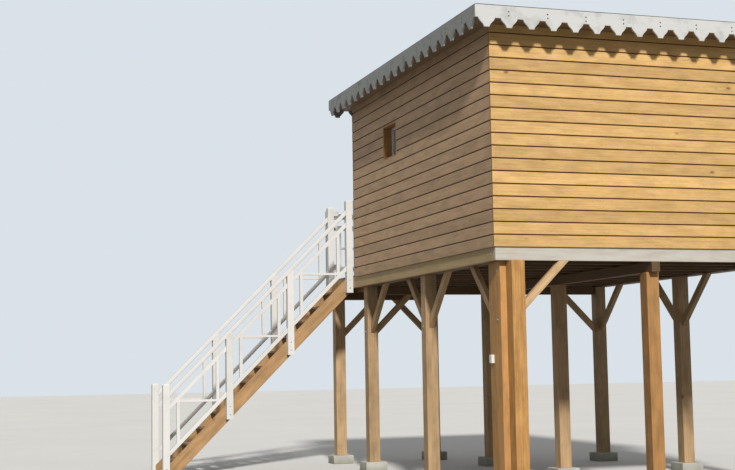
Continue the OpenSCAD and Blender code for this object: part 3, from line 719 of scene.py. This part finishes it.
inner = lining_material("inner_lining", "Z", 0.11, (0.60, 0.43, 0.25))
for name in ("wall_left", "wall_right", "wall_front",
             "wall_back_left", "wall_back_right", "wall_back_over"):
    keep(name, inner)
keep("floor_deck", lining_material("floor_boards", "X", 0.145, (0.40, 0.27, 0.15)))
# The soffit boards are darkened with painted shade
keep("soffit", lining_material("shaded_soffit_boards", "X", 0.12, (0.22, 0.14, 0.075)))
keep("window_panes", M["glass"])
keep("roof_deck", M["felt"])

# Landing boards
DECK_BOARD = 0.125
# What each deck board leaves free at either side
DECK_GAP = 0.003


def landing_boards():
    piece = Piece("landing_boards", 21)
    length = DECK[1][0] - DECK[0][0]
    count = round(length / DECK_BOARD)
    width = length / count
    for i in range(count):
        a = DECK[0][0] + i * width
        piece.box((a + DECK_GAP, DECK[0][1], DECK[0][2]), (a + width - DECK_GAP, DECK[1][1], DECK[1][2]),
                  axes=(1, 0, 2), bevel=0.003)
    piece.make(M["deck"], "boards", "landing_deck")


landing_boards()

# Door: the knob stands out from its face, and boards and ledges each take half of the leaf's thickness
KNOB_OUT = 0.060
LEAF_FACE = LEAF[1][1] - KNOB_OUT
HALF_LEAF = (LEAF[1][1] - LEAF[0][1] - KNOB_OUT) / 2
LEAF_H = LEAF[1][2] - LEAF[0][2]
PLANKS = 6
PLANK_GAP = 0.0005
PLANK_EASE = 0.005
LEDGES = (0.1, 0.5, 0.9)
LEDGE_END = 0.0425
LEDGE_HALF = 0.055
# The knob's radii and how far they stand out, from its rose to its end
KNOB_PROFILE = ((0.030, -SUNK), (0.030, 0.004), (0.010, 0.007), (0.009, 0.030), (0.016, 0.036),
                (0.024, 0.046), (0.023, 0.055), (0.014, 0.0595))
KNOB_IN = 0.070
KNOB_UP = 1.0
HINGES = (0.12, 0.88)
HINGE_IN = 0.004
# A hinge strap's length, where its point starts, half its height at both places, and its thickness
STRAP = 0.36
STRAP_POINT = 0.33
STRAP_ROOT = 0.020
STRAP_END = 0.009
STRAP_T = 0.004
STRAP_SCREWS = (0.03, 0.12, 0.21, 0.31)
STRAP_SCREW_HEAD = (0.005, 0.002)


def on_leaf(x, out, z):
    return (x, LEAF_FACE - HALF_LEAF + out, z)


def door_boards():
    piece = Piece("door_boards", 23)
    width = (LEAF[1][0] - LEAF[0][0]) / PLANKS
    for i in range(PLANKS):
        a = LEAF[0][0] + i * width
        b = a + width
        low, high, shoulder = a + PLANK_GAP, b - PLANK_GAP, HALF_LEAF - PLANK_EASE
        outline = [(low, 0.0), (low, shoulder), (a + PLANK_EASE, HALF_LEAF),
                   (b - PLANK_EASE, HALF_LEAF), (high, shoulder), (high, 0.0)]
        piece.prism(outline, LEAF[0][2], LEAF[1][2], on_leaf, (2, 0, 1))
    for part in LEDGES:
        z = LEAF[0][2] + part * LEAF_H
        piece.box((LEAF[0][0] + LEDGE_END, LEAF_FACE - 2 * HALF_LEAF, z - LEDGE_HALF),
                  (LEAF[1][0] - LEDGE_END, LEAF_FACE - HALF_LEAF, z + LEDGE_HALF), ALONG_X, bevel=0.004)
    piece.make(M["white"], "white_paint", "door_leaf")


def door_iron():
    """The knob and two strap hinges with their screws."""
    piece = Piece("door_iron", 25)
    knob = (LEAF[1][0] - KNOB_IN, LEAF_FACE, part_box("floor_deck")[1][2] + KNOB_UP)
    piece.turned(knob, (0, 1, 0), KNOB_PROFILE, 20, smooth=True)
    for part in HINGES:
        x, z = LEAF[0][0] + HINGE_IN, LEAF[0][2] + part * LEAF_H
        outline = [(x, z - STRAP_ROOT), (x + STRAP_POINT, z - STRAP_END), (x + STRAP, z),
                   (x + STRAP_POINT, z + STRAP_END), (x, z + STRAP_ROOT)]
        piece.prism(outline, LEAF_FACE, LEAF_FACE + STRAP_T, lambda u, v, w: (u, w, v), (0, 2, 1))
        for step in STRAP_SCREWS:
            piece.disc((x + step, LEAF_FACE + STRAP_T, z), (0, 1, 0), *STRAP_SCREW_HEAD)
    piece.make(M["bolt"], "white_paint")


door_boards()
door_iron()

# Roof: its edges are the outer faces of the trim, and it rises at one slope to the ridge
EDGE_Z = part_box("trim_front")[1][2]
RX0, RY0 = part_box("trim_left")[0][0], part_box("trim_front")[0][1]
RX1, RY1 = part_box("trim_right")[1][0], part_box("trim_back")[1][1]
HALF = (RX1 - RX0) / 2
SLOPE = (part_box("roof_deck")[1][2] - EDGE_Z) / HALF
# Each side of the roof: where its eave starts, the way along the eave, the way up, and its length
SIDES = (((RX0, RY0), (1, 0), (0, 1), RX1 - RX0), ((RX1, RY0), (0, 1), (-1, 0), RY1 - RY0),
         ((RX1, RY1), (-1, 0), (0, -1), RX1 - RX0), ((RX0, RY1), (0, -1), (1, 0), RY1 - RY0))

# Shingles: courses of tabs that are thickest at their lower edge
COURSE = 0.14
COURSE_LAP = 0.02
TAB = 0.30
TAB_GAP = 0.002
# How far the shingles stay from the edge of the roof and from its hips
EDGE_IN = 0.004
SHINGLE_SUNK = 0.001
BUTT = 0.008
TAPER = 0.005

# Caps along the hips and the ridge
CAP_HALF = 0.07
CAP_PITCH = 0.16
CAP_LAP = 0.15
CAP_START = 0.1
CAP_UNDER = 0.002
CAP_HIGH = 0.012
CAP_LOW = 0.0085


def roof_z(x, y):
    return EDGE_Z + SLOPE * min(x - RX0, RX1 - x, y - RY0, RY1 - y)


def shingle_side(piece, start, along_eave, uphill, length):
    """The shingles of one side of the roof, cut at its hips."""
    def spot(along, up, lift):
        return (start[0] + along_eave[0] * along + uphill[0] * up,
                start[1] + along_eave[1] * along + uphill[1] * up, EDGE_Z + SLOPE * up + lift)

    for course in range(math.ceil(HALF / COURSE)):
        low = max(course * COURSE, EDGE_IN)
        high = min((course + 1) * COURSE + COURSE_LAP, HALF)
        first = -TAB * (0.5 if course % 2 else 0.0)
        for tab in range(math.ceil((length - first) / TAB)):
            a = first + tab * TAB + TAB_GAP
            b = a + TAB - 2 * TAB_GAP
            flat = clip([(a, low), (b, low), (b, high), (a, high)], -1, 1, -EDGE_IN)
            flat = clip(flat, 1, 1, length - EDGE_IN)
            if len(flat) < 3:
                continue
            points = [spot(along, up, -SHINGLE_SUNK) for along, up in flat]
            points += [spot(along, up, BUTT - TAPER * (up - low) / COURSE) for along, up in flat]
            piece.add(points, prism_faces(len(flat)))


def cap_line(piece, start, end):
    """Caps from start up to end, each bent over the line and lying on the one before."""
    along = end - start
    steps = round(along.length / CAP_PITCH)
    flat = Vector((along.x, along.y, 0)).normalized()
    side = Vector((-flat.y, flat.x, 0)) * CAP_HALF
    for i in range(steps):
        a = start + along * (i / steps)
        b = start + along * ((i + 1 + CAP_LAP) / steps if i < steps - 1 else 1.0)
        if i == 0 and start.z < end.z:
            a = start + along * (CAP_START / along.length)
        points = []
        for lift_a, lift_b in ((CAP_UNDER, CAP_UNDER), (CAP_HIGH, CAP_LOW)):
            for p, lift in ((a, lift_a), (b, lift_b)):
                for way in (-1, 0, 1):
                    q = p + side * way
                    points.append((q.x, q.y, roof_z(q.x, q.y) + lift))
        piece.add(points, [[0, 1, 4, 3], [1, 2, 5, 4], [9, 10, 7, 6], [10, 11, 8, 7], [0, 3, 9, 6],
                           [8, 11, 5, 2], [1, 0, 6, 7], [2, 1, 7, 8], [3, 4, 10, 9], [4, 5, 11, 10]])


shingles = Piece("roof_shingles", 31)
for side_of_roof in SIDES:
    shingle_side(shingles, *side_of_roof)
ridge_z = EDGE_Z + SLOPE * HALF
ridge_a = Vector(((RX0 + RX1) / 2, RY0 + HALF, ridge_z))
ridge_b = Vector(((RX0 + RX1) / 2, RY1 - HALF, ridge_z))
for x in (RX0, RX1):
    for y, ridge_end in ((RY0, ridge_a), (RY1, ridge_b)):
        cap_line(shingles, Vector((x, y, EDGE_Z)), ridge_end)
cap_line(shingles, ridge_a, ridge_b)
shingles.make(M["felt"], "felt")

# Screws in the eave trim, in pairs; a head is its radius and its height
SCREW_END = 0.38
SCREW_PITCH = 0.44
SCREW_DOWNS = (0.060, 0.102)
SCREW_HEAD = (0.0085, 0.0015)


def trim_screws():
    piece = Piece("trim_screws", 41)
    for low, high, axis, face, direction in (
        (RX0, RX1, 0, RY0, (0, -1, 0)), (RX0, RX1, 0, RY1, (0, 1, 0)),
        (RY0, RY1, 1, RX0, (-1, 0, 0)), (RY0, RY1, 1, RX1, (1, 0, 0)),
    ):
        length = high - low - 2 * SCREW_END
        pairs = round(length / SCREW_PITCH)
        for i in range(pairs + 1):
            s = low + SCREW_END + length * i / pairs
            for down in SCREW_DOWNS:
                spot = (s, face, EDGE_Z - down) if axis == 0 else (face, s, EDGE_Z - down)
                piece.disc(spot, direction, *SCREW_HEAD)
    piece.make(M["bolt"], "white_paint")


trim_screws()

# Bolts: how far under the rim they go through the posts, and how far over its foot through the rim
POST_BOLTS = (0.10, 0.62)
RIM_BOLT_UP = 0.07
RIM_BOLT_APART = 0.04
# Radius and height of each head
WASHER = (0.014, 0.006)
NUT = (0.007, 0.011)
RIM_BOLT = (0.011, 0.006)
NEWEL_BOLT = (0.009, 0.004)
# The stair: newels to a side, its rises and goings, and its bolts over the line of the nosings
NEWELS = 4
RISERS = 13
GOING = 0.207
NEWEL_BOLT_UPS = (-0.02, -0.13)
FOOT_BOLT_UPS = (0.03, -0.02)


def post_bolts(piece):
    """Coach bolts through the outer posts, and two in the rim over each of them."""
    rim_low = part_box("rim_sides")[0][2]
    for side, post in ((-1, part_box("posts_left")), (1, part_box("posts_right"))):
        face = post[0][0] if side < 0 else post[1][0]
        rim_face = X0 + CLAD if side < 0 else X1 - CLAD
        half = (post[1][0] - post[0][0]) / 2
        for y in (post[0][1] + half, (Y0 + Y1) / 2, post[1][1] - half):
            for down in POST_BOLTS:
                spot = (face, y, rim_low - down)
                piece.disc(spot, (side, 0, 0), *WASHER, sides=12)
                piece.disc(spot, (side, 0, 0), *NUT, sides=6, dome=0.9)
            for apart in (-RIM_BOLT_APART, RIM_BOLT_APART):
                spot = (rim_face, y + apart, rim_low + RIM_BOLT_UP)
                piece.disc(spot, (side, 0, 0), *RIM_BOLT, sides=6)


def newel_bolts(piece):
    """Two bolts through each stair newel into its string, or into the foot block."""
    rail, newels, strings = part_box("handrails"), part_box("newels"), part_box("stair_strings")
    room_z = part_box("floor_deck")[1][2]
    newel = rail[0][0] - newels[0][0]
    foot_x, top_x = rail[0][0] - newel / 2, rail[1][0] + newel / 2
    last = NEWELS - 1
    for i in range(NEWELS):
        x = top_x + (foot_x - top_x) * i / last
        nose = room_z + (x - strings[1][0]) * room_z / RISERS / GOING
        for up in NEWEL_BOLT_UPS if i < last else FOOT_BOLT_UPS:
            for y, way in ((strings[0][1] - newel, -1), (strings[1][1] + newel, 1)):
                piece.disc((x, y, nose + up), (0, way, 0), *NEWEL_BOLT)


bolts = Piece("frame_bolts", 43)
post_bolts(bolts)
newel_bolts(bolts)
bolts.make(M["zinc"], "new_timber")


# Stage, light and camera
def seen_directly(tree):
    """1 for what the camera, a reflection or the glass shows, 0 for bounced light."""
    path = tree.nodes.new("ShaderNodeLightPath")
    seen = maths(tree, "MAXIMUM", path.outputs["Is Camera Ray"], path.outputs["Is Glossy Ray"])
    return maths(tree, "MAXIMUM", seen, path.outputs["Is Transmission Ray"])


def pale_floor(size):
    """A pale floor that sends little light back up, as grass and earth do."""
    bpy.ops.mesh.primitive_plane_add(size=size, location=(0, 0, 0))
    floor = bpy.context.object
    floor.name = "floor"
    mat, tree, bsdf = shader("pale_floor")
    cloud = noise(tree, place(tree), 0.4, 3.0, 0.5)
    pale = ramp(tree, cloud, [(0.3, (0.64, 0.64, 0.63)), (0.7, (0.67, 0.67, 0.66))])
    tree.links.new(mix(tree, seen_directly(tree), (0.22, 0.22, 0.21), pale), bsdf.inputs["Base Color"])
    bsdf.inputs["Roughness"].default_value = 0.9
    floor.data.materials.append(mat)


def key_light(energy, degrees, colour, shines):
    """A sun as wide as degrees, which softens its shadows; shines is the way that its light goes."""
    sun = bpy.data.objects.new("key", bpy.data.lights.new("key", "SUN"))
    sun.data.energy = energy
    sun.data.angle = math.radians(degrees)
    sun.data.color = colour
    sun.rotation_euler = Vector(shines).to_track_quat("-Z", "Y").to_euler()
    bpy.context.scene.collection.objects.link(sun)


def studio_world(light, strength, backdrop):
    """An even light from all round, with the backdrop's own colour behind the object."""
    world = bpy.data.worlds.new("studio")
    bpy.context.scene.world = world
    world.use_nodes = True
    tree = world.node_tree
    tree.nodes.clear()
    out = tree.nodes.new("ShaderNodeOutputWorld")
    fill = node(tree, "ShaderNodeBackground", Color=(*light, 1.0), Strength=strength)
    shown = node(tree, "ShaderNodeBackground", Color=(*backdrop, 1.0), Strength=1.0)
    blend = tree.nodes.new("ShaderNodeMixShader")
    tree.links.new(seen_directly(tree), blend.inputs[0])
    tree.links.new(fill.outputs[0], blend.inputs[1])
    tree.links.new(shown.outputs[0], blend.inputs[2])
    tree.links.new(blend.outputs[0], out.inputs["Surface"])


# The camera was fitted to the straight edges of the cabin in the photograph
PHOTO_WIDTH = 735
FOCAL_PIXELS = 1348.876
SENSOR = 36.0
YAW, PITCH, ROLL = -0.3183, 0.0956, -0.0168
# How far it stands to the left of the near corner and in front of it, and its height
ASIDE, AWAY, EYE = 5.659, 12.9445, 1.4349


def photo_camera():
    """The camera of the photograph, turned by YAW, then PITCH, then ROLL."""
    camera = bpy.data.objects.new("camera", bpy.data.cameras.new("camera"))
    bpy.context.scene.collection.objects.link(camera)
    bpy.context.scene.camera = camera
    camera.data.sensor_fit = "HORIZONTAL"
    camera.data.sensor_width = SENSOR
    camera.data.lens = FOCAL_PIXELS / PHOTO_WIDTH * SENSOR
    camera.data.clip_end = 300
    forward = Vector((-math.sin(YAW) * math.cos(PITCH), math.cos(YAW) * math.cos(PITCH), math.sin(PITCH)))
    level = Vector((math.cos(YAW), math.sin(YAW), 0))
    upright = level.cross(forward)
    to_right = math.cos(ROLL) * level + math.sin(ROLL) * upright
    to_top = -math.sin(ROLL) * level + math.cos(ROLL) * upright
    turn = Matrix((to_right, to_top, -forward)).transposed()
    camera.matrix_world = Matrix.Translation((X0 - ASIDE, Y0 - AWAY, EYE)) @ turn.to_4x4()


pale_floor(size=120)
key_light(energy=3.85, degrees=5, colour=(1.0, 0.965, 0.91), shines=(0.06, 0.28, -0.200))
studio_world(light=(1.0, 0.99, 0.97), strength=0.31, backdrop=(0.70, 0.76, 0.81))
photo_camera()
bpy.context.scene.view_settings.view_transform = "Standard"

bpy.context.view_layer.update()
